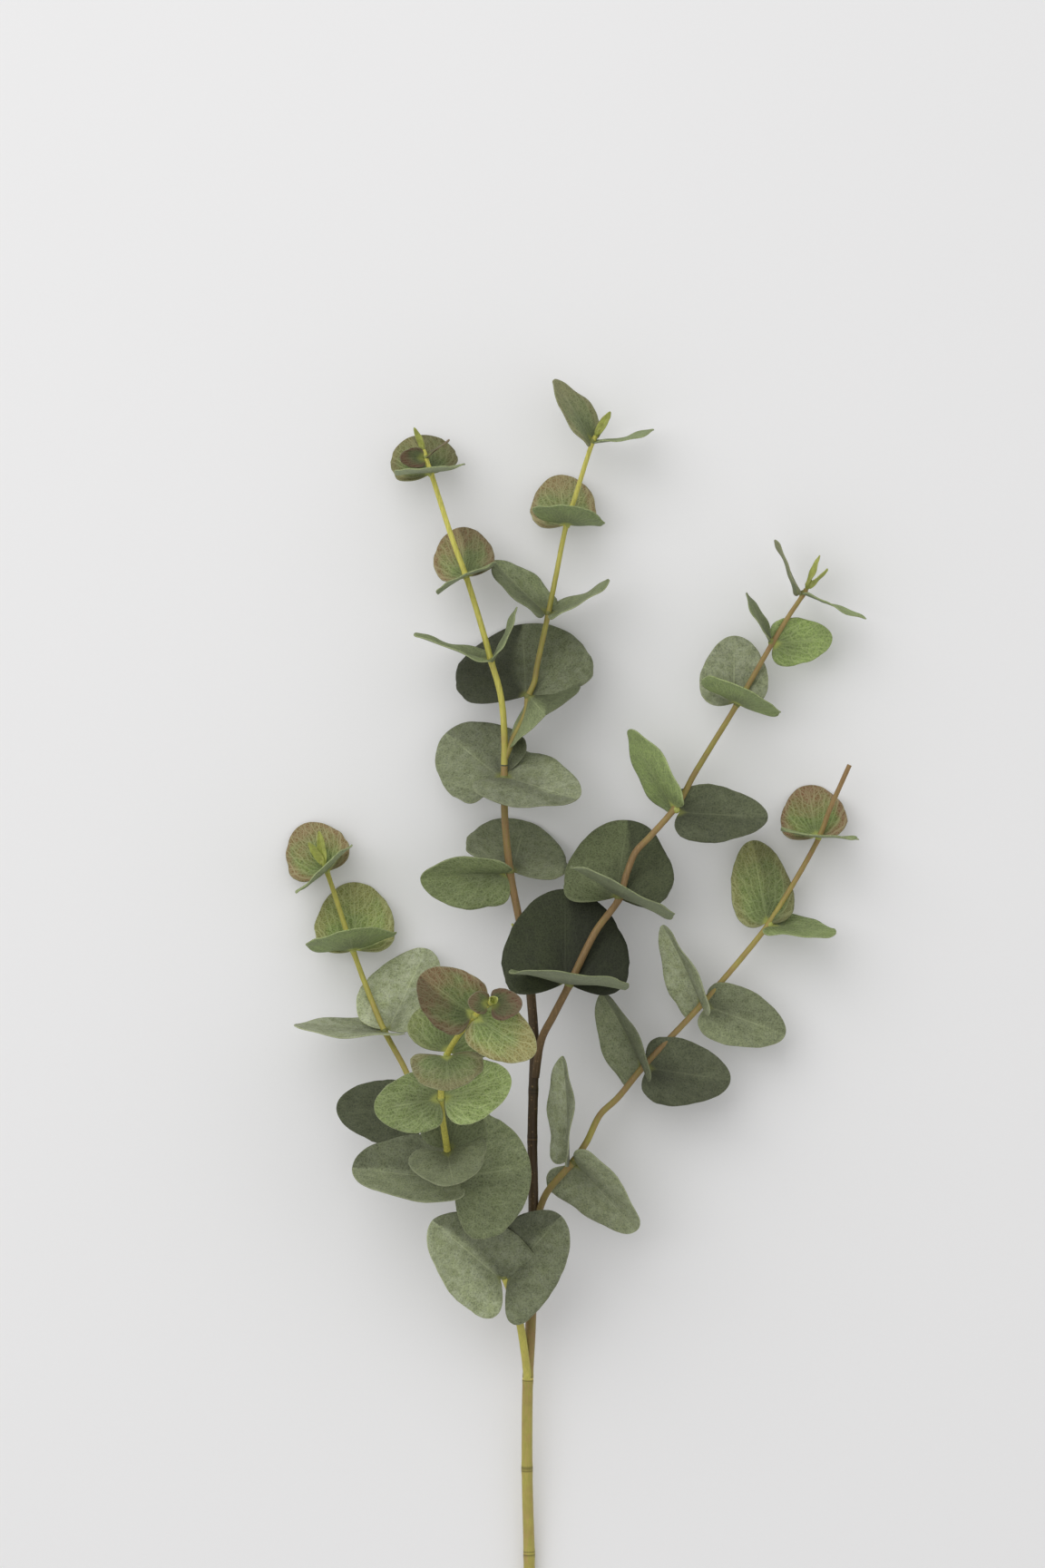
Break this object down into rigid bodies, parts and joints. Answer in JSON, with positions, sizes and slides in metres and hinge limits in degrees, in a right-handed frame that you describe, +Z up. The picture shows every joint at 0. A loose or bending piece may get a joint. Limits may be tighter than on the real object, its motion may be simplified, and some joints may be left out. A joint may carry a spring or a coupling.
{
  "type": "eucalyptus leaf branch",
  "caption": "Cut eucalyptus branch lying on its side: a slender forked stem with round silver-green leaves in opposite pairs and small pointed tip buds.",
  "frame": {"origin": "on the small flat under the stem near its cut end, at the level of the surface the branch lies on", "axes": "+Y along the branch from the cut end towards the tips, +X to its right seen from above, +Z up"},
  "size_m": [0.2295, 0.5407, 0.1317],
  "materials": {
    "bark": "satin",
    "twig": "satin",
    "leaf": "matte",
    "young_leaf": "matte",
    "bud": "satin"
  },
  "bodies": {
    "root": {"main_stem": "bark", "upper_stem": "bark", "twig_top_left": "twig", "twig_top_right": "twig", "twig_right_upper": "twig", "twig_right_lower": "twig", "twig_left_base": "twig", "twig_front": "twig", "twig_left": "twig", "leaves_low": "leaf", "leaves_front_1": "leaf", "leaves_front_2": "leaf", "leaves_front_3": "leaf", "leaves_front_4": "leaf", "leaves_front_5": "young_leaf", "leaves_front_6": "young_leaf", "leaves_left_1": "leaf", "leaves_left_2": "leaf", "leaves_left_3": "young_leaf", "leaves_left_4": "young_leaf", "leaves_right_lower_1": "leaf", "leaves_right_lower_2": "leaf", "leaves_right_lower_3": "leaf", "leaves_right_lower_4": "leaf", "leaves_right_lower_5": "young_leaf", "leaves_right_upper_1": "leaf", "leaves_right_upper_2": "leaf", "leaves_right_upper_3": "leaf", "leaves_right_upper_4": "leaf", "leaves_right_upper_5": "young_leaf", "leaves_right_upper_6": "young_leaf", "leaves_upper_1": "leaf", "leaves_upper_2": "leaf", "leaves_top_right_1": "leaf", "leaves_top_right_2": "leaf", "leaves_top_right_3": "young_leaf", "leaves_top_right_4": "young_leaf", "leaves_top_left_1": "leaf", "leaves_top_left_2": "young_leaf", "leaves_top_left_3": "young_leaf", "leaves_top_left_4": "young_leaf", "bud_top_left": "bud", "bud_top_right": "bud", "bud_right_upper": "bud", "bud_left": "bud", "bud_front": "bud"}
  },
  "joints": []
}
